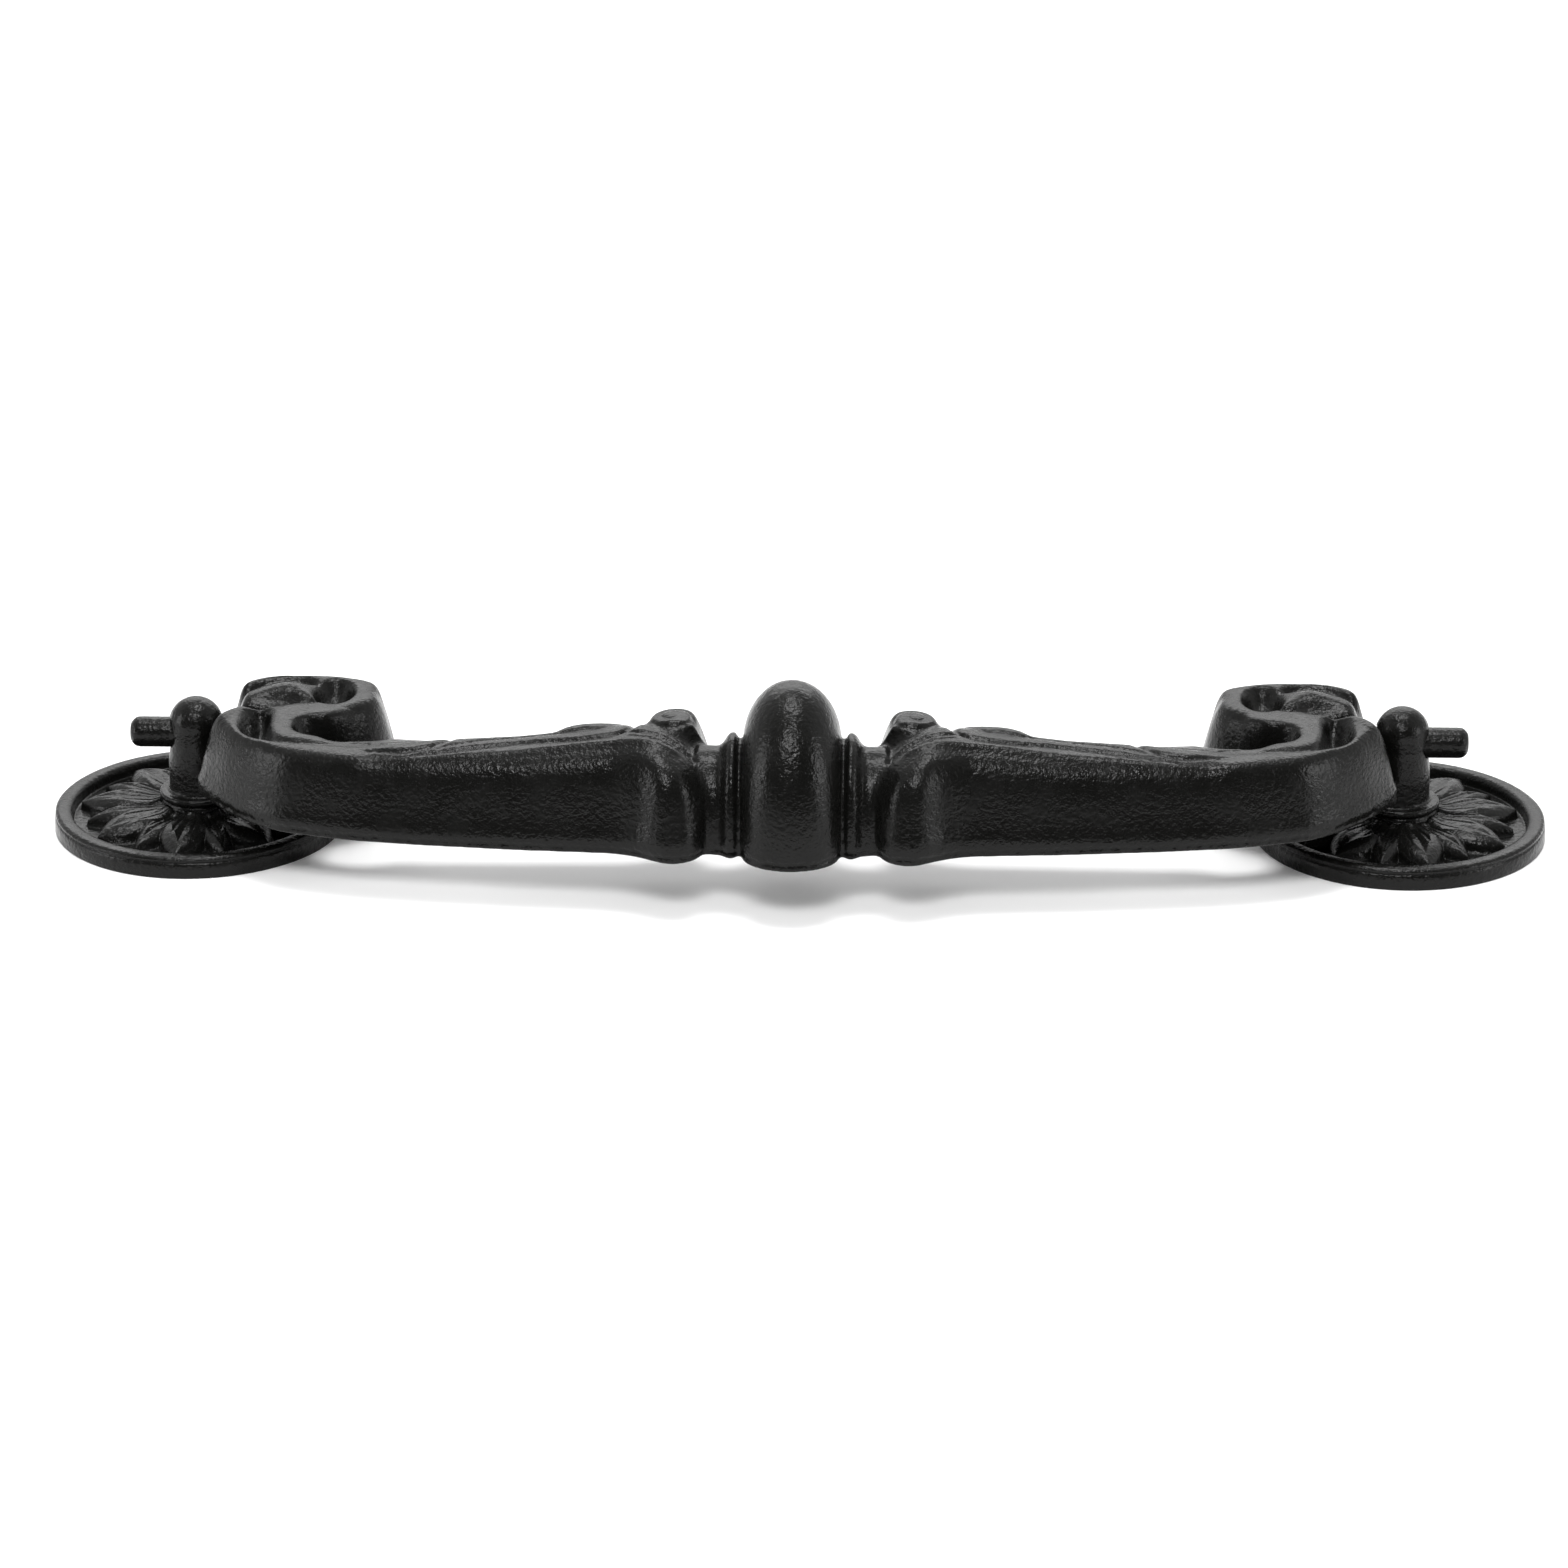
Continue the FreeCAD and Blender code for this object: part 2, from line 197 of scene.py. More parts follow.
class RosetteSizes(bpy.types.PropertyGroup):
    """Sizes of the petalled rosettes."""
    left_turn: bpy.props.FloatProperty(
        name="Left Turn", description="Turn of the left rosette's petals",
        default=math.radians(-4), subtype="ANGLE")
    right_turn: bpy.props.FloatProperty(
        name="Right Turn", description="Turn of the right rosette's petals",
        default=math.radians(10), subtype="ANGLE")
    petal_pairs: bpy.props.IntProperty(
        name="Petal Pairs", description="Number of large petals, each with a small one beside it",
        default=8, min=3)
    large_length: bpy.props.FloatProperty(
        name="Large Petal Reach", description="Distance from the post's axis to the tip of a large petal",
        default=13.0 * MM, unit="LENGTH", precision=5)
    large_width: bpy.props.FloatProperty(
        name="Large Petal Width", description="Width of a large petal",
        default=4.7 * MM, unit="LENGTH", precision=5)
    small_length: bpy.props.FloatProperty(
        name="Small Petal Reach", description="Distance from the post's axis to the tip of a small petal",
        default=12.3 * MM, unit="LENGTH", precision=5)
    small_width: bpy.props.FloatProperty(
        name="Small Petal Width", description="Width of a small petal",
        default=3.0 * MM, unit="LENGTH", precision=5)


class CoatingLooks(bpy.types.PropertyGroup):
    """Colour and grain of the black coated casting."""
    coat_colour: bpy.props.StringProperty(
        name="Coating", description="sRGB hex value of the black coating", default="0B0B0A")
    pimple_size: bpy.props.FloatProperty(
        name="Pimple Size", description="Distance between the coating's pimples",
        default=0.5 * MM, min=0.05 * MM, unit="LENGTH", precision=5)
    pimple_height: bpy.props.FloatProperty(
        name="Pimple Height", description="Height of the coating's pimples",
        default=0.1 * MM, min=0, unit="LENGTH", precision=5)


class StageSizes(bpy.types.PropertyGroup):
    """Camera, floor and backdrop."""
    lens: bpy.props.FloatProperty(
        name="Lens", description="Focal length of the camera", default=125.154, unit="CAMERA")
    place: bpy.props.FloatVectorProperty(
        name="Camera Place", description="Where the camera stands",
        default=(0.016862, -0.536359, 0.226946), subtype="XYZ_LENGTH", precision=6)
    pitch: bpy.props.FloatProperty(
        name="Pitch", description="How far the camera looks down", default=math.radians(22.469),
        subtype="ANGLE")
    yaw: bpy.props.FloatProperty(
        name="Yaw", description="How far the camera looks to the right", default=math.radians(-1.952),
        subtype="ANGLE")
    roll: bpy.props.FloatProperty(
        name="Roll", description="Turn of the camera about its line of sight", default=math.radians(-0.233),
        subtype="ANGLE")
    floor_colour: bpy.props.StringProperty(
        name="Floor", description="sRGB hex value of the floor and backdrop", default="FDFDFD")


def linear(code):
    """Linear colour of an sRGB hex value."""
    channels = []
    for start in (0, 2, 4):
        value = int(code[start:start + 2], 16) / 255
        channels.append(value / 12.92 if value <= 0.04045 else ((value + 0.055) / 1.055) ** 2.4)
    return (*channels, 1.0)


def add_node(tree, kind, settings=None, inputs=None):
    """Node of a kind with its settings; each input is a value or the socket that feeds it."""
    node = tree.nodes.new(kind)
    for name, value in (settings or {}).items():
        setattr(node, name, value)
    for name, value in (inputs or {}).items():
        if isinstance(value, bpy.types.NodeSocket):
            tree.links.new(value, node.inputs[name])
        else:
            node.inputs[name].default_value = value
    return node


def black_coated_zinc(looks):
    """Zinc die casting under a thin black coating: near black, with a satin sheen broken by fine pimples."""
    material = bpy.data.materials.new("Black Coated Zinc")
    material.use_nodes = True
    tree = material.node_tree
    shader = tree.nodes["Principled BSDF"]
    place = add_node(tree, "ShaderNodeTexCoord").outputs["Object"]
    # Pimples about 0.5 mm across break the highlights into specks.
    pimples = add_node(tree, "ShaderNodeTexNoise", None,
                       {"Vector": place, "Scale": 1 / looks.pimple_size, "Detail": 2.0, "Roughness": 0.6})
    # Patches about 3 mm across are a little more or less shiny.
    patches = add_node(tree, "ShaderNodeTexNoise", None,
                       {"Vector": place, "Scale": 1 / (3 * MM), "Detail": 3.0, "Roughness": 0.5})
    shine = add_node(tree, "ShaderNodeMapRange", None,
                     {"Value": patches.outputs["Fac"], "From Min": 0.35, "From Max": 0.65,
                      "To Min": 0.2, "To Max": 0.3})
    bump = add_node(tree, "ShaderNodeBump", None,
                    {"Height": pimples.outputs["Fac"], "Strength": 1.0, "Distance": looks.pimple_height})
    shader.inputs["Base Color"].default_value = linear(looks.coat_colour)
    shader.inputs["IOR"].default_value = 1.45
    shader.inputs["Specular IOR Level"].default_value = 0.2
    tree.links.new(shine.outputs["Result"], shader.inputs["Roughness"])
    tree.links.new(bump.outputs["Normal"], shader.inputs["Normal"])
    return material


def coating():
    """The one coating material, made when first asked for."""
    return bpy.data.materials.get("Black Coated Zinc") or black_coated_zinc(bpy.context.scene.pull_looks)


def new_piece(name, bm):
    """Object of a bmesh, which is freed."""
    mesh = bpy.data.meshes.new(name)
    bm.to_mesh(mesh)
    bm.free()
    piece = bpy.data.objects.new(name, mesh)
    bpy.context.scene.collection.objects.link(piece)
    return piece


def settle(piece):
    """Applies a piece's modifiers."""
    graph = bpy.context.evaluated_depsgraph_get()
    mesh = bpy.data.meshes.new_from_object(piece.evaluated_get(graph), depsgraph=graph)
    old = piece.data
    piece.modifiers.clear()
    piece.data = mesh
    bpy.data.meshes.remove(old)


def regrain(piece, size):
    """Joins a piece's overlapping shells into one skin of even grain."""
    remesh = piece.modifiers.new("Grain", "REMESH")
    remesh.mode = "VOXEL"
    remesh.voxel_size = size
    settle(piece)


def places(mesh):
    """Vertex places of a mesh, in millimetres."""
    values = np.empty(len(mesh.vertices) * 3, np.float32)
    mesh.vertices.foreach_get("co", values)
    return values.reshape(-1, 3).astype(float) / MM


def normals(mesh):
    """Vertex normals of a mesh."""
    values = np.empty(len(mesh.vertices) * 3, np.float32)
    mesh.vertex_normals.foreach_get("vector", values)
    return values.reshape(-1, 3).astype(float)


def move_to(mesh, points):
    """Puts a mesh's vertices at places given in millimetres."""
    mesh.vertices.foreach_set("co", (points * MM).astype(np.float32).ravel())
    mesh.update()


def relax(mesh, weight, passes):
    """Evens a surface: each vertex moves towards the mean of its neighbours by its weight."""
    edges = np.empty(len(mesh.edges) * 2, np.int32)
    mesh.edges.foreach_get("vertices", edges)
    first, second = edges.reshape(-1, 2).T
    count = len(mesh.vertices)
    near = np.maximum(np.bincount(first, minlength=count) + np.bincount(second, minlength=count), 1)
    points = places(mesh)
    for _ in range(passes):
        for axis in range(3):
            column = points[:, axis]
            total = np.bincount(first, column[second], count) + np.bincount(second, column[first], count)
            points[:, axis] = column + weight * (total / near - column)
    move_to(mesh, points)


def ease(value, low, high):
    """Smooth step from 0 at low to 1 at high."""
    share = np.clip((value - low) / (high - low), 0, 1)
    return share * share * (3 - 2 * share)


def soft_lower(first, second, blend):
    """Lower of two heights, with their corner rounded."""
    near = np.maximum(blend - np.abs(first - second), 0) / blend
    return np.minimum(first, second) - near * near * blend / 4


def soft_upper(first, second, blend):
    """Higher of two heights, with their corner rounded."""
    return -soft_lower(-first, -second, blend)


def smooth_path(knots, steps=8):
    """Rows along a smooth curve through the knots."""
    rows = np.array(knots, float)
    rows = np.vstack([2 * rows[0] - rows[1], rows, 2 * rows[-1] - rows[-2]])
    share = np.linspace(0, 1, steps, endpoint=False)[:, None]
    parts = []
    for before, start, end, after in zip(rows, rows[1:], rows[2:], rows[3:]):
        parts.append(start + 0.5 * share * (end - before)
                     + share ** 2 * (before - 2.5 * start + 2 * end - 0.5 * after)
                     + share ** 3 * (1.5 * start - 1.5 * end + 0.5 * after - 0.5 * before))
    return np.vstack(parts + [rows[-2:-1]])


def along(path, x, y):
    """Distance of each place to a path, with the path's height and half width at its nearest point."""
    gap = np.full(x.shape, 1e9)
    height = np.zeros(x.shape)
    width = np.ones(x.shape)
    for start, end in zip(path, path[1:]):
        step = end - start
        share = ((x - start[0]) * step[0] + (y - start[1]) * step[1]) / max(step[0] ** 2 + step[1] ** 2, 1e-9)
        share = np.clip(share, 0, 1)
        distance = np.hypot(x - start[0] - share * step[0], y - start[1] - share * step[1])
        closer = distance < gap
        gap[closer] = distance[closer]
        height[closer] = (start[2] + share * step[2])[closer]
        width[closer] = np.maximum(start[3] + share * step[3], 0.05)[closer]
    return gap, height, width


def form(power, knots, x, y):
    """Rise or fall of the surface along a form's line."""
    gap, rise, width = along(smooth_path(knots), x, y)
    return rise * np.maximum(1 - (gap / width) ** power, 0) ** 2


def blur(field, spread):
    """Field evened out over a spread given in cells."""
    reach = int(3 * spread) + 1
    weights = np.exp(-0.5 * (np.arange(-reach, reach + 1) / spread) ** 2)
    weights /= weights.sum()
    for axis in (0, 1):
        pad = [(0, 0), (0, 0)]
        pad[axis] = (reach, reach)
        wide = np.pad(field, pad, mode="edge")
        size = field.shape[axis]
        field = sum(w * np.take(wide, range(k, k + size), axis) for k, w in enumerate(weights))
    return field


def seen_from_above(node, x, y):
    """Height of a CAD node under each place, and whether it is there at all."""
    graph = bpy.context.evaluated_depsgraph_get()
    tree = BVHTree.FromObject(frame["nodes"][node], graph)
    down = Vector((0, 0, -1))
    height = np.zeros(x.shape)
    there = np.zeros(x.shape, bool)
    for index in np.ndindex(x.shape):
        hit = tree.ray_cast(Vector((x[index] * MM, y[index] * MM, 0.1)), down)[0]
        if hit:
            height[index] = hit.z / MM
            there[index] = True
    return height, there


def outline_points(level, x, y):
    """Points where a level field crosses one half, between the grid's places."""
    points = []
    for axis in (0, 1):
        low = [slice(None), slice(None)]
        high = [slice(None), slice(None)]
        low[axis] = slice(None, -1)
        high[axis] = slice(1, None)
        low, high = tuple(low), tuple(high)
        crossed = (level[low] - 0.5) * (level[high] - 0.5) < 0
        share = ((0.5 - level[low]) / np.where(crossed, level[high] - level[low], 1))[crossed]
        points.append(np.stack([x[low][crossed] + share * (x[high] - x[low])[crossed],
                                y[low][crossed] + share * (y[high] - y[low])[crossed]], 1))
    return np.vstack(points)


def scroll_walls(depth, x, y, back):
    """Height of the scroll's drafted outer walls at a depth inside its outline, steeper towards the back."""
    front = np.interp(depth, (0, 0.2, 0.95, 1.45, 2.0, 2.7, 4.0), (0.6, 1.5, 5.2, 6.9, 8.1, 8.8, 9.1))
    middle = np.interp(depth, (0, 0.2, 0.95, 1.4, 2.0, 3.0), (0.8, 2.2, 6.6, 7.9, 8.7, 9.1))
    rear = np.interp(depth, (0, 0.3, 0.7, 1.2, 2.0), (4.0, 7.0, 8.1, 8.7, 9.1))
    mixed = front + (middle - front) * ease(y, -6, -2) * ease(x, 50, 53)
    return back + mixed + (rear - mixed) * ease(y, 1, 4)


def scroll_relief(x, y, rim, back, step):
    """Height of the carved scroll: drafted walls up to a level top, then its forms and the oval's dish."""
    depth = np.full(x.shape, 99.0)
    for point in rim:
        depth = np.minimum(depth, np.hypot(x - point[0], y - point[1]))
    # The wall beside the pocket is the steepest.
    steep = ease(x, 46, 48) * (1 - ease(x, 49.5, 51)) * ease(y, -9.5, -7.5) * (1 - ease(y, -5, -3))
    walls = blur(scroll_walls(depth * (1 + 0.8 * steep), x, y, back), 0.15 / step)
    top = soft_lower(walls, SCROLL_TOP, 0.6)
    for power, knots in SCROLL_FORMS:
        top += form(power, knots, x, y)
    top = blur(top, 0.28 / step)
    reach = np.hypot((x - DISH_CENTRE[0]) / DISH_HALF[0], (y - DISH_CENTRE[1]) / DISH_HALF[1])
    return top - DISH_DEPTH * np.maximum(1 - reach ** 3, 0) ** 2


def with_knob(height, x, y):
    """Heights of the bar with the knob raised on them, its shoulder towards the bell and its spiral."""
    reach = np.hypot(x - KNOB_CENTRE[0], y - KNOB_CENTRE[1])
    knob = KNOB_TOP - 0.12 * reach ** 2 - 5.0 * np.maximum(reach - KNOB_FLAT, 0)
    shoulder = KNOB_TOP + 0.3 - 1.1 * np.maximum(11.2 - x, 0) ** 1.8
    # The shoulder leaves the bell in front of the knob alone.
    limit = shoulder + 8 * (1 - ease(y, -16, -14))
    height = soft_lower(soft_upper(height, knob, 0.5), limit, 1.5)
    return height + form(2, KNOB_SPIRAL, x, y)


def bail_relief(step, back):
    """Grid of the bail's right half from the bell outwards: places, heights and how far each is inside."""
    x, y = np.meshgrid(np.arange(7.8, 64.4, step), np.arange(-27.6, 8.0, step), indexing="ij")
    height, there = seen_from_above("bail", x, y)
    there &= (x > BELL_START) & ((x < SCROLL_END) | (np.abs(y) > PIN_CLEARANCE))
    inside = there.astype(float)
    level = blur(inside, 0.9 / step)
    near = blur(inside, 0.4 / step)
    cast = blur(height * inside, 0.4 / step) / np.maximum(near, 1e-3)
    rim = outline_points(level, x, y)
    carved = x[:, 0] > CARVING_START - 0.2
    top = scroll_relief(x[carved], y[carved], rim[rim[:, 0] > CARVING_START - 3.2], back, step)
    cast[carved] += ease(x[carved], CARVING_START, CARVING_WHOLE) * (top - cast[carved])
    for knots in BAR_LINES:
        cast += form(2, knots, x, y)
    return x, y, with_knob(cast, x, y), level


def relief_solid(step, back):
    """Closed solid of the bail's right half under its relief."""
    x, y, height, level = bail_relief(step, back)
    count_x, count_y = x.shape
    bm = bmesh.new()
    bmesh.ops.create_grid(bm, x_segments=count_x - 1, y_segments=count_y - 1, size=1)
    mesh = bpy.data.meshes.new("relief")
    bm.to_mesh(mesh)
    grid = places(mesh) * MM
    column = np.rint((grid[:, 0] + 1) / 2 * (count_x - 1)).astype(int)
    row = np.rint((grid[:, 1] + 1) / 2 * (count_y - 1)).astype(int)
    slope_x, slope_y = np.gradient(level, step)
    steep = np.maximum(slope_x ** 2 + slope_y ** 2, 0.01)
    outside = level < 0.5
    shift = np.where(outside, (0.5 - level) / steep, 0)
    height = np.where(outside, back, np.maximum(height, back + 0.05))
    points = np.stack([x + shift * slope_x, y + shift * slope_y, height], 2)
    move_to(mesh, points[column, row])
    bm.clear()
    bm.from_mesh(mesh)
    bpy.data.meshes.remove(mesh)
    bm.verts.ensure_lookup_table()
    away = outside[column, row]
    lost = [face for face in bm.faces if all(away[corner.index] for corner in face.verts)]
    bmesh.ops.delete(bm, geom=lost, context="FACES")
    bmesh.ops.delete(bm, geom=[vert for vert in bm.verts if not vert.link_faces], context="VERTS")
    copy = bmesh.ops.duplicate(bm, geom=bm.faces[:])["geom"]
    for item in copy:
        if isinstance(item, bmesh.types.BMVert):
            item.co.z = back * MM
    bmesh.ops.reverse_faces(bm, faces=[item for item in copy if isinstance(item, bmesh.types.BMFace)])
    bmesh.ops.remove_doubles(bm, verts=bm.verts, dist=SAME_POINT / 2 * MM)
    return bm


def turned(outline, centre, axis, steps):
    """Bmesh of a form turned about an axis, from the places of its outline."""
    bm = bmesh.new()
    verts = [bm.verts.new(Vector(place) * MM) for place in outline]
    edges = [bm.edges.new(pair) for pair in zip(verts, verts[1:])]
    bmesh.ops.spin(bm, geom=verts + edges, cent=Vector(centre) * MM, axis=axis, angle=math.tau, steps=steps,
                   use_merge=True)
    bmesh.ops.remove_doubles(bm, verts=bm.verts, dist=SAME_POINT * MM)
    bmesh.ops.recalc_face_normals(bm, faces=bm.faces)
    return bm


def turned_centre(back):
    """Boss between its rings and necks: half-oval rounds on the flat back."""
    half = []
    for degrees in range(90, -1, -6):
        angle = math.radians(degrees)
        half.append((5.1 * math.cos(angle), 6.0 + 4.0 * math.sin(angle)))
    # The groove beside the boss, the ring and the neck.
    half += [(5.2, 5.4), (5.5, 5.4), (5.6, 6.3), (5.8, 6.6), (6.2, 6.65), (6.6, 6.5), (6.9, 6.2), (7.3, 5.85),
             (7.7, 5.75), (9.8, 5.8), (9.8, 0)]
    outline = [(-x, CENTRE_LINE, r) for x, r in half[::-1]] + [(x, CENTRE_LINE, r) for x, r in half[1:]]
    bm = turned(outline, (0, CENTRE_LINE, 0), (1, 0, 0), 128)
    bmesh.ops.scale(bm, vec=(1, 1, CENTRE_DEPTH), verts=bm.verts)
    bmesh.ops.translate(bm, vec=(0, 0, back * MM), verts=bm.verts)
    bmesh.ops.bisect_plane(bm, geom=bm.verts[:] + bm.edges[:] + bm.faces[:], dist=1e-7,
                           plane_co=(0, 0, back * MM), plane_no=(0, 0, 1), clear_inner=True)
    bmesh.ops.holes_fill(bm, edges=[edge for edge in bm.edges if edge.is_boundary])
    return bm


def pivot_pin(height):
    """Right pivot pin with its chamfered end."""
    half = [(57.5, 0), (57.5, 1.64), (70.2, 1.64), (70.5, 1.55), (70.9, 1.15), (71.0, 0.95), (71.0, 0)]
    return turned([(x, 0, height + r) for x, r in half], (0, 0, height), (1, 0, 0), 48)


def pivot_height():
    """Height of the line that the bail swings about."""
    return frame["joints"][0]["pos_m"][2] / MM


def screw_hole(side):
    """The screw hole under a side's post, as the record gives it."""
    return next(mount for mount in frame["record"]["mounts"] if mount["name"] == side + "_screw_hole")


def joined(target, *others):
    """Adds other bmeshes to the first and frees them."""
    for other in others:
        mesh = bpy.data.meshes.new("part")
        other.to_mesh(mesh)
        other.free()
        target.from_mesh(mesh)
        bpy.data.meshes.remove(mesh)
    return target


def soften_walls(mesh):
    """Evens the bail's walls, less on the turned centre, and then takes the grid's steps off all of it."""
    points = places(mesh)
    side = np.abs(points[:, 0])
    crest = ease(points[:, 2], 12.2, 13.6)
    centre = ease(-side, -8.6, -7.6)
    pins = ease(side, 62, 62.8)
    relax(mesh, 0.5 * (1 - crest) * (1 - 0.8 * centre) * (1 - pins), 24)
    relax(mesh, np.full(len(points), 0.4), 3)


def seam_groove(points, facing, back, deep):
    """Depth of the ragged groove just above the flash line at the back, on walls that face sideways."""
    wall = 1 - ease(np.abs(facing[:, 2]), 0.5, 0.8)
    x, y = points[:, 0], points[:, 1]
    ragged = (np.sin(x * 2.3) + np.sin(x * 5.1 + 1.3) + np.sin(y * 3.7)) / 3
    middle = back + SEAM_HEIGHT + 0.1 * ragged
    groove = np.exp(-((points[:, 2] - middle) / SEAM_HALF) ** 2) * deep * (1 + 0.25 * ragged)
    return groove * wall * (1 - ease(np.abs(x), 60.4, 61))


def swing_room(points, pivot):
    """Factor that draws the scroll's far side in to the pivot line, so that it clears the rosette."""
    side = np.abs(points[:, 0])
    reach = np.hypot(points[:, 1], points[:, 2] - pivot)
    near_rosette = (points[:, 1] > 0) & (side > 41) & (side < SCROLL_END - 0.03)
    factor = np.minimum(SWING_RADIUS / np.maximum(reach, 1e-6), 1)
    return np.where(near_rosette, factor, 1)


def finish_bail(mesh, back, pivot, sizes):
    """Softens the walls, cuts the seam and the bells' flutes and frees the swing past the rosettes."""
    soften_walls(mesh)
    points = places(mesh)
    facing = normals(mesh)
    points[:, :2] -= facing[:, :2] * seam_groove(points, facing, back, sizes.seam_depth / MM)[:, None]
    flute = np.exp(-((np.abs(points[:, 0]) - FLUTE_LINE) / FLUTE_HALF) ** 2)
    flute *= 1 - ease(points[:, 2], 13, 15.6)
    points[:, 1] += sizes.flute_depth / MM * flute * ease(-facing[:, 1], 0.3, 0.7)
    free = swing_room(points, pivot)
    points[:, 1] *= free
    points[:, 2] = pivot + (points[:, 2] - pivot) * free
    points[:, 2] = np.maximum(points[:, 2], back)
    move_to(mesh, points)


def thin_out(piece, triangles):
    """Merges the smallest faces until a piece has about so many triangles."""
    thin = piece.modifiers.new("Thin", "DECIMATE")
    have = sum(len(face.vertices) - 2 for face in piece.data.polygons)
    thin.ratio = min(triangles / have, 1)
    settle(piece)


def finish_piece(piece, body, node):
    """Gives a piece its coating and its body, and hides the CAD node that it stands for."""
    piece.data.materials.clear()
    piece.data.materials.append(coating())
    piece.data.shade_smooth()
    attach(piece, body)
    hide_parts(node)


class PULL_OT_bail(bpy.types.Operator):
    """Builds the cast bail"""
    bl_idname = "pull.bail"
    bl_label = "Cast Bail"

    def execute(self, context):
        sizes = context.scene.pull_casting
        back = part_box("bail")[0].z / MM
        pivot = pivot_height()
        end = joined(relief_solid(sizes.relief_step / MM, back), pivot_pin(pivot))
        other = end.copy()
        bmesh.ops.scale(other, vec=(-1, 1, 1), verts=other.verts)
        bmesh.ops.reverse_faces(other, faces=other.faces)
        piece = new_piece("cast_bail", joined(turned_centre(back), end, other))
        regrain(piece, sizes.grain)
        finish_bail(piece.data, back, pivot, sizes)
        thin_out(piece, BAIL_TRIANGLES)
        finish_piece(piece, "bail", "bail")
        return {"FINISHED"}


def bore(piece, radius, start, end):
    """Drills a round hole through a piece from start to end."""
    bm = bmesh.new()
    line_of_hole = Vector(end) - Vector(start)
    bmesh.ops.create_cone(bm, cap_ends=True, segments=48, radius1=radius * MM, radius2=radius * MM,
                          depth=line_of_hole.length * MM)
    turn = line_of_hole.to_track_quat("Z", "Y").to_matrix()
    bmesh.ops.rotate(bm, cent=(0, 0, 0), matrix=turn, verts=bm.verts)
    bmesh.ops.translate(bm, vec=(Vector(start) + Vector(end)) / 2 * MM, verts=bm.verts)
    drill = new_piece("drill", bm)
    hole = piece.modifiers.new("Hole", "BOOLEAN")
    hole.object = drill
    hole.solver = "EXACT"
    settle(piece)
    bpy.data.objects.remove(drill)


def cast_post(side, grain):
    """Post with collar, slim neck and round head, drilled for the pin and the screw."""
    hole = screw_hole(side)
    centre = hole["pos_m"][0] / MM
    half = [(0.0, 0.02), (2.58, 0.02), (2.58, 3.32), (4.1, 3.32), (4.24, 3.5), (4.22, 3.85), (4.05, 4.05),
            (3.7, 4.0), (3.3, 4.02), (3.14, 4.25), (3.1, 5.5), (3.1, 6.8), (3.05, 7.6), (2.95, 8.4),
            (2.86, 9.2), (2.8, 9.9), (2.84, 10.5), (2.9, 11.3)]
    for degrees in range(8, 90, 8):
        angle = math.radians(degrees)
        half.append((2.9 * math.cos(angle), 11.45 + 2.9 * math.sin(angle)))
    half.append((0.0, 14.35))
    bm = turned([(r, 0, z) for r, z in half], (0, 0, 0), (0, 0, 1), 96)
    bmesh.ops.translate(bm, vec=(centre * MM, 0, 0), verts=bm.verts)
    piece = new_piece(side + "_cast_post", bm)
    pivot = pivot_height()
    bore(piece, PIN_HOLE, (centre - 5, 0, pivot), (centre + 5, 0, pivot))
    bore(piece, hole["dims"]["r_mm"], (centre, 0, -1), (centre, 0, hole["dims"]["length_mm"]))
    regrain(piece, grain)
    relax(piece.data, np.full(len(piece.data.vertices), 0.5), 3)
    return piece


class PULL_OT_posts(bpy.types.Operator):
    """Builds both posts"""
    bl_idname = "pull.posts"
    bl_label = "Posts"

    def execute(self, context):
        for side in ("left", "right"):
            piece = cast_post(side, context.scene.pull_casting.post_grain)
            finish_piece(piece, "mounting", side + "_post")
        return {"FINISHED"}


def dish_outline():
    """Section of the rosette's dish: hub, sunk floor, raised lip with a line below it, and flat back."""
    outline = [(2.66, 0.0), (2.66, 3.25), (2.75, 3.3), (3.7, 3.3), (3.9, 3.15), (4.0, 2.9), (4.05, 2.4)]
    outline += [(radius, DISH_FLOOR) for radius in np.linspace(FLOOR_START, FLOOR_END, 66)]
    outline += [(13.52, 1.1), (13.56, 1.5), (13.62, 1.95), (13.8, 2.22), (14.1, 2.33), (14.5, 2.35),
                (14.9, 2.33), (15.2, 2.25), (15.38, 2.08), (15.4, 1.92), (15.3, 1.82), (15.28, 1.72),
                (15.38, 1.64), (15.46, 1.45), (15.5, 1.0), (15.5, 0.12), (15.42, 0.0)]
    return outline + outline[:1]


def petal_height(along_petal, across, length, width, crown, tip_height):
    """Height of one petal: crowned, falling to a pointed tip, with a wedge-shaped hollow from the hub."""
    share = (along_petal - PETAL_START) / (length - PETAL_START)
    safe = np.clip(share, 0, 1)
    half = width / 2 * (0.45 + 0.57 * np.sin(math.pi * safe ** 1.15)) * (1 - safe ** 7) ** 0.6
    side = np.abs(across) / np.maximum(half, 1e-3)
    ridge = tip_height + (crown - tip_height) * (1 - safe ** 3.5)
    wedge = 0.9 * np.maximum(1 - safe / 0.85 - side * 0.75, 0) ** 0.8 * ease(safe, -0.05, 0.22)
    vein = 0.14 * np.exp(-((side - 0.42) / 0.07) ** 2) * (1 - ease(safe, 0.35, 0.8))
    height = ridge - 0.75 * np.minimum(side, 1) ** 2.4 - wedge - vein
    height -= 6.0 * np.maximum(np.abs(across) - half, 0)
    return np.where((share > 0) & (share < 1), height, 0.0)


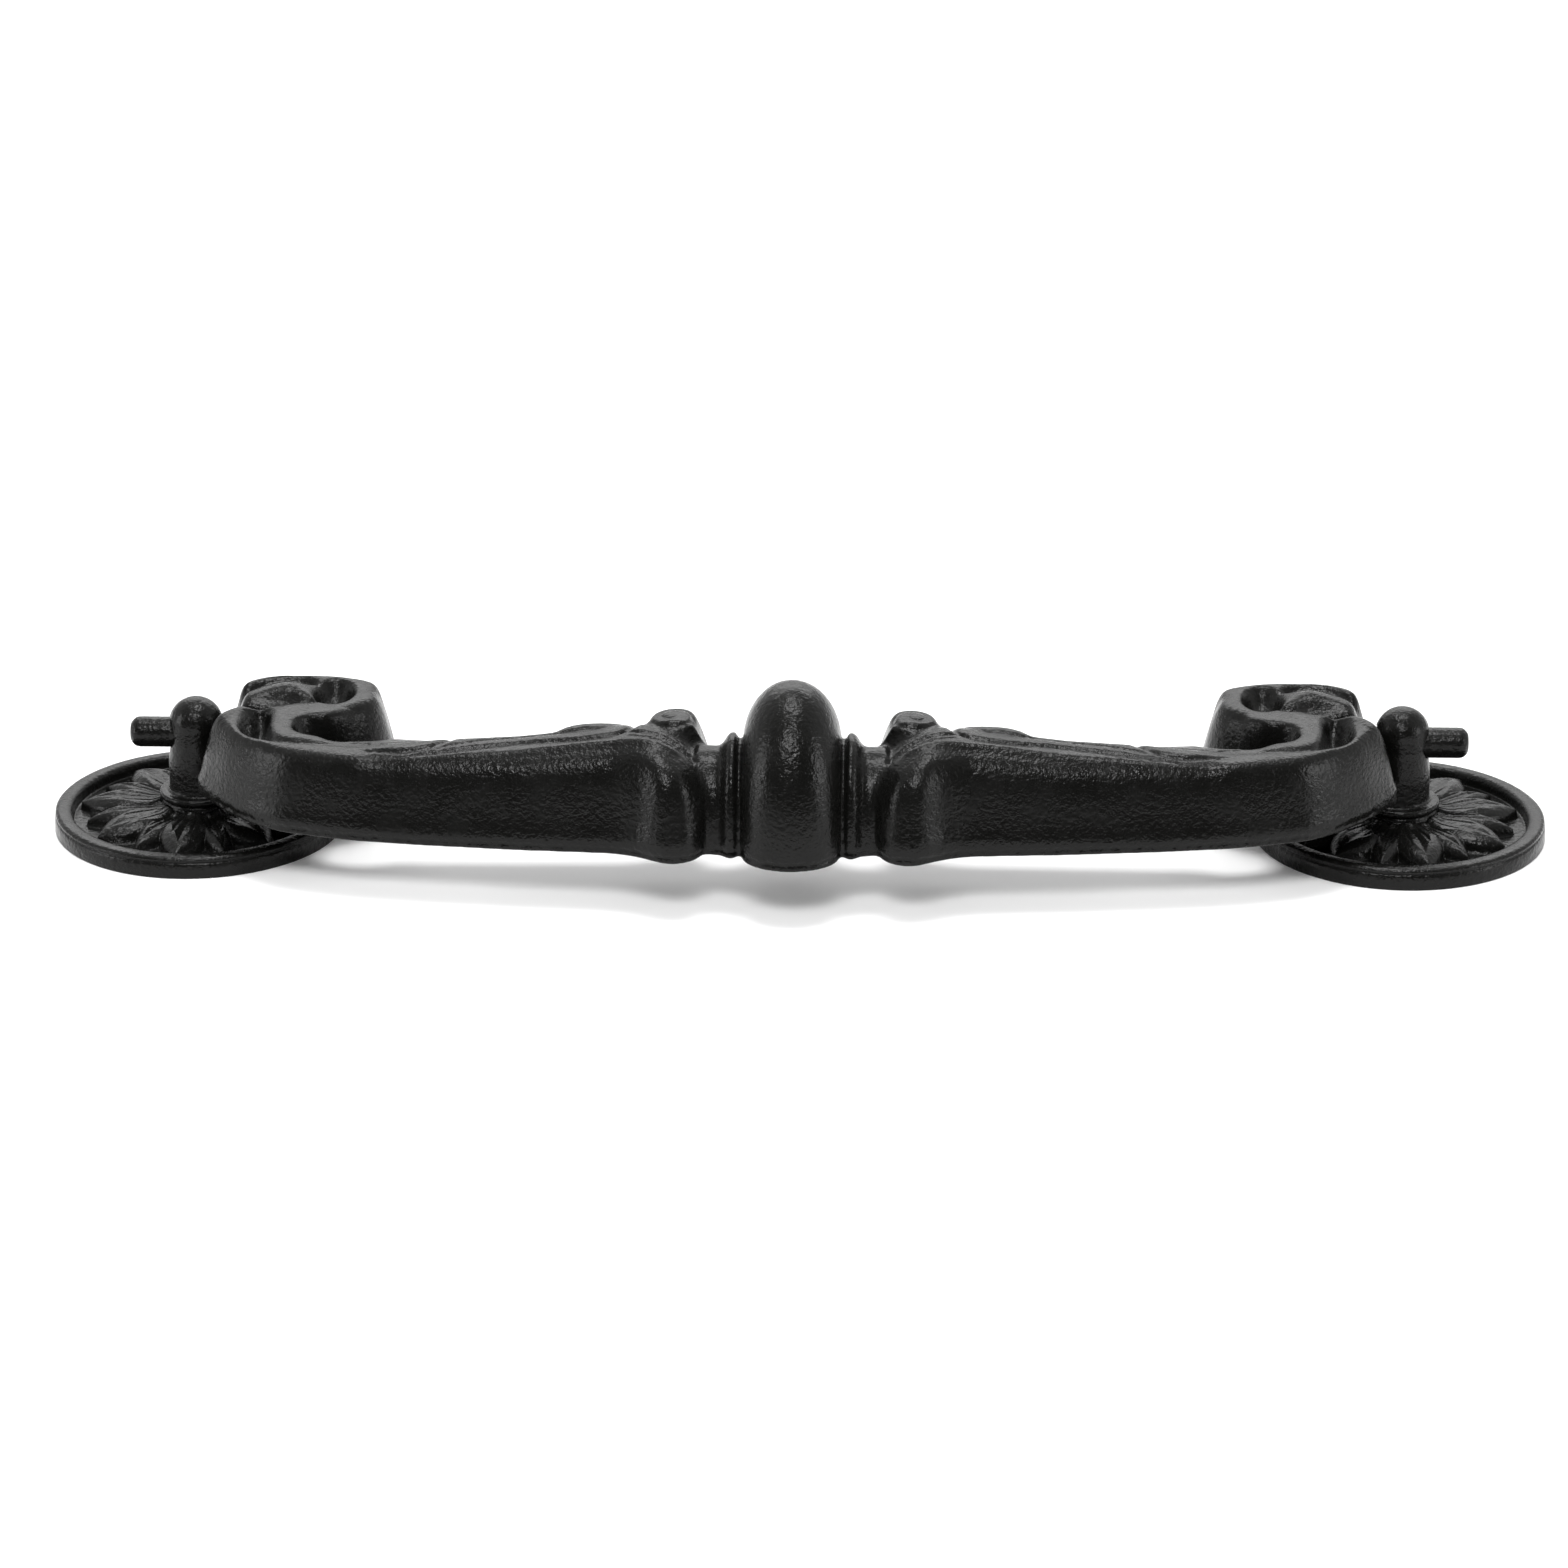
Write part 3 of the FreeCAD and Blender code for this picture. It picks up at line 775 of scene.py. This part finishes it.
def cast_rosette(side, turn, sizes):
    """Round dish with a daisy of large and small petals."""
    bm = turned([(r, 0, z) for r, z in dish_outline()], (0, 0, 0), (0, 0, 1), 640)
    piece = new_piece(side + "_cast_rosette", bm)
    points = places(piece.data)
    radius = np.hypot(points[:, 0], points[:, 1])
    angle = np.arctan2(points[:, 1], points[:, 0])
    raised = points[:, 2].copy()
    # Reach, width, crown and height at the tip of the two kinds of petal, which take turns.
    kinds = ((sizes.large_length / MM, sizes.large_width / MM, 3.25, 1.75),
             (sizes.small_length / MM, sizes.small_width / MM, 3.0, 1.6))
    for number in range(2 * sizes.petal_pairs):
        lean = angle - turn - number * math.pi / sizes.petal_pairs
        petal = petal_height(radius * np.cos(lean), radius * np.sin(lean), *kinds[number % 2])
        raised = np.maximum(raised, petal)
    floor = (radius > FLOOR_START - 0.02) & (radius < FLOOR_END + 0.01) & (points[:, 2] > DISH_FLOOR - 0.1)
    points[floor, 2] = raised[floor]
    points[:, 0] += screw_hole(side)["pos_m"][0] / MM
    move_to(piece.data, points)
    return piece


class PULL_OT_rosettes(bpy.types.Operator):
    """Builds both petalled rosettes"""
    bl_idname = "pull.rosettes"
    bl_label = "Rosettes"

    def execute(self, context):
        sizes = context.scene.pull_rosettes
        for side, turn in (("left", sizes.left_turn), ("right", sizes.right_turn)):
            piece = cast_rosette(side, turn, sizes)
            finish_piece(piece, "mounting", side + "_rosette")
        return {"FINISHED"}


class PULL_OT_stage(bpy.types.Operator):
    """Sets the floor, the light and the camera"""
    bl_idname = "pull.stage"
    bl_label = "Stage"

    def execute(self, context):
        place_camera(context)
        place_floor(context)
        place_lights(context)
        light_world(context)
        context.scene.view_settings.view_transform = "Standard"
        return {"FINISHED"}


def place_camera(context):
    """Camera at the photograph's viewing angle."""
    stage = context.scene.pull_stage
    ahead = Vector((math.sin(stage.yaw) * math.cos(stage.pitch), math.cos(stage.yaw) * math.cos(stage.pitch),
                    -math.sin(stage.pitch)))
    level = Vector((math.cos(stage.yaw), -math.sin(stage.yaw), 0))
    above = level.cross(ahead)
    right = math.cos(stage.roll) * level + math.sin(stage.roll) * above
    up = -math.sin(stage.roll) * level + math.cos(stage.roll) * above
    data = bpy.data.cameras.new("view")
    data.lens = stage.lens
    data.clip_start = 0.01
    camera = bpy.data.objects.new("view", data)
    axes = Matrix((right, up, -ahead)).transposed().to_4x4()
    camera.matrix_world = Matrix.Translation(Vector(stage.place)) @ axes
    context.scene.collection.objects.link(camera)
    context.scene.camera = camera


def place_floor(context):
    """Pale floor under the rosettes."""
    bm = bmesh.new()
    bmesh.ops.create_grid(bm, x_segments=1, y_segments=1, size=4.0)
    floor = new_piece("floor", bm)
    material = bpy.data.materials.new("Matt White Board")
    material.use_nodes = True
    tree = material.node_tree
    shader = tree.nodes["Principled BSDF"]
    shader.inputs["Base Color"].default_value = linear(context.scene.pull_stage.floor_colour)
    shader.inputs["Roughness"].default_value = 1.0
    shader.inputs["Specular IOR Level"].default_value = 0.0
    floor.data.materials.append(material)


def place_lights(context):
    """Soft boxes: one overhead, one high in front, one low on each side and one behind."""
    lamps = (
        ("top_softbox", (0.0, 0.05, 0.9), (0.4, 0.3), 5.0),
        ("front_softbox", (-0.04, -0.58, 0.68), (0.3, 0.2), 4.0),
        ("left_softbox", (-0.8, -0.22, 0.22), (0.25, 0.35), 2.0),
        ("right_softbox", (0.8, -0.3, 0.25), (0.25, 0.35), 2.0),
        ("back_softbox", (0.0, 0.8, 0.6), (1.0, 0.5), 5.0),
    )
    target = Vector((0, 0, 0.01))
    for name, place, size, power in lamps:
        data = bpy.data.lights.new(name, "AREA")
        data.shape = "RECTANGLE"
        data.size, data.size_y = size
        data.energy = power
        lamp = bpy.data.objects.new(name, data)
        lamp.location = place
        lamp.rotation_euler = (target - Vector(place)).to_track_quat("-Z", "Y").to_euler()
        context.scene.collection.objects.link(lamp)


def light_world(context):
    """White backdrop that mirrors as fading to a dark room in front, over an even soft fill."""
    world = bpy.data.worlds.new("Studio")
    world.use_nodes = True
    tree = world.node_tree
    surface = tree.nodes["Background"]
    rays = add_node(tree, "ShaderNodeLightPath").outputs
    seen = add_node(tree, "ShaderNodeMath", {"operation": "MAXIMUM"},
                    {0: rays["Is Camera Ray"], 1: rays["Is Glossy Ray"]})
    seen = add_node(tree, "ShaderNodeMath", {"operation": "MAXIMUM"},
                    {0: seen.outputs["Value"], 1: rays["Is Transmission Ray"]})
    way = add_node(tree, "ShaderNodeTexCoord").outputs["Generated"]
    depth = add_node(tree, "ShaderNodeSeparateXYZ", None, {"Vector": way}).outputs["Y"]
    room = add_node(tree, "ShaderNodeMapRange", None,
                    {"Value": depth, "From Min": -0.7, "From Max": 0.0, "To Min": 0.06, "To Max": 1.0})
    level = add_node(tree, "ShaderNodeMapRange", None,
                     {"Value": seen.outputs["Value"], "To Min": 0.6, "To Max": room.outputs["Result"]})
    surface.inputs["Color"].default_value = linear(context.scene.pull_stage.floor_colour)
    tree.links.new(level.outputs["Result"], surface.inputs["Strength"])
    context.scene.world = world


class PULL_PT_panel(bpy.types.Panel):
    """Lists the pull's pieces and settings"""
    bl_label = "Bail Pull"
    bl_idname = "PULL_PT_panel"
    bl_space_type = "VIEW_3D"
    bl_region_type = "UI"
    bl_category = "Bail Pull"

    def draw(self, context):
        layout = self.layout
        for group in GROUPS:
            box = layout.box()
            settings = getattr(context.scene, group)
            for name in settings.__annotations__:
                box.prop(settings, name)
        for operator in (PULL_OT_bail, PULL_OT_posts, PULL_OT_rosettes, PULL_OT_stage):
            layout.operator(operator.bl_idname)


GROUPS = {"pull_casting": CastingSizes, "pull_rosettes": RosetteSizes, "pull_looks": CoatingLooks,
          "pull_stage": StageSizes}
CLASSES = (*GROUPS.values(), PULL_OT_bail, PULL_OT_posts, PULL_OT_rosettes, PULL_OT_stage, PULL_PT_panel)


def register():
    """Adds the classes and their settings to Blender."""
    for item in CLASSES:
        bpy.utils.register_class(item)
    for name, group in GROUPS.items():
        setattr(bpy.types.Scene, name, bpy.props.PointerProperty(type=group))


def unregister():
    """Takes the classes and their settings out of Blender again."""
    for name in GROUPS:
        delattr(bpy.types.Scene, name)
    for item in reversed(CLASSES):
        bpy.utils.unregister_class(item)


def main():
    """Builds the stage and every piece."""
    register()
    bpy.ops.pull.stage()
    bpy.ops.pull.bail()
    bpy.ops.pull.posts()
    bpy.ops.pull.rosettes()


if __name__ == "__main__":
    main()
